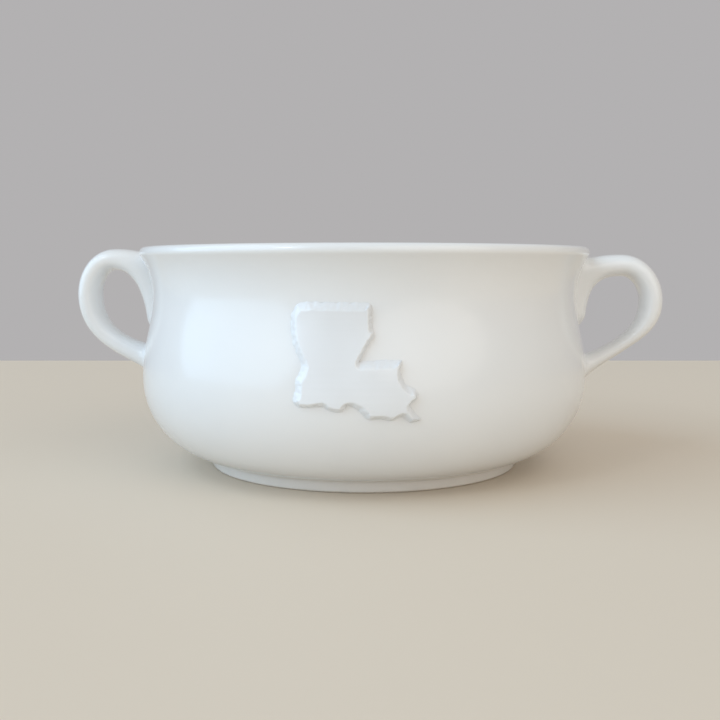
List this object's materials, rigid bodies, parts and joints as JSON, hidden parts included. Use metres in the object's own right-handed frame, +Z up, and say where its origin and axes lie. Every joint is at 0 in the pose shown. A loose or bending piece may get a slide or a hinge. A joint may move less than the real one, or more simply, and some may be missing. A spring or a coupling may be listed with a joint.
{
  "type": "lug soup bowl",
  "caption": "Low wide soup bowl with a flared rim, a foot ring, two upright loop handles on opposite sides and a raised figure on its front.",
  "frame": {"origin": "middle of the foot ring, on the table", "axes": "+Z up, handles on +X and -X, the raised figure faces -Y"},
  "size_m": [0.1916, 0.1453, 0.07],
  "materials": {
    "white_glaze": "clear gloss glaze over white clay, thin at edges and pooled in hollows",
    "foot_glaze": "gloss glaze on the sides, wiped bare on the face that meets the table",
    "slip": "fired slip under the glaze"
  },
  "bodies": {
    "root": {"bowl_body": "white_glaze", "foot_ring": "foot_glaze", "foot_slip": "slip", "left_handle": "white_glaze", "right_handle": "white_glaze", "left_upper_slip": "slip", "left_lower_slip": "slip", "right_upper_slip": "slip", "right_lower_slip": "slip", "state_relief": "white_glaze", "relief_slip": "slip"}
  },
  "joints": []
}
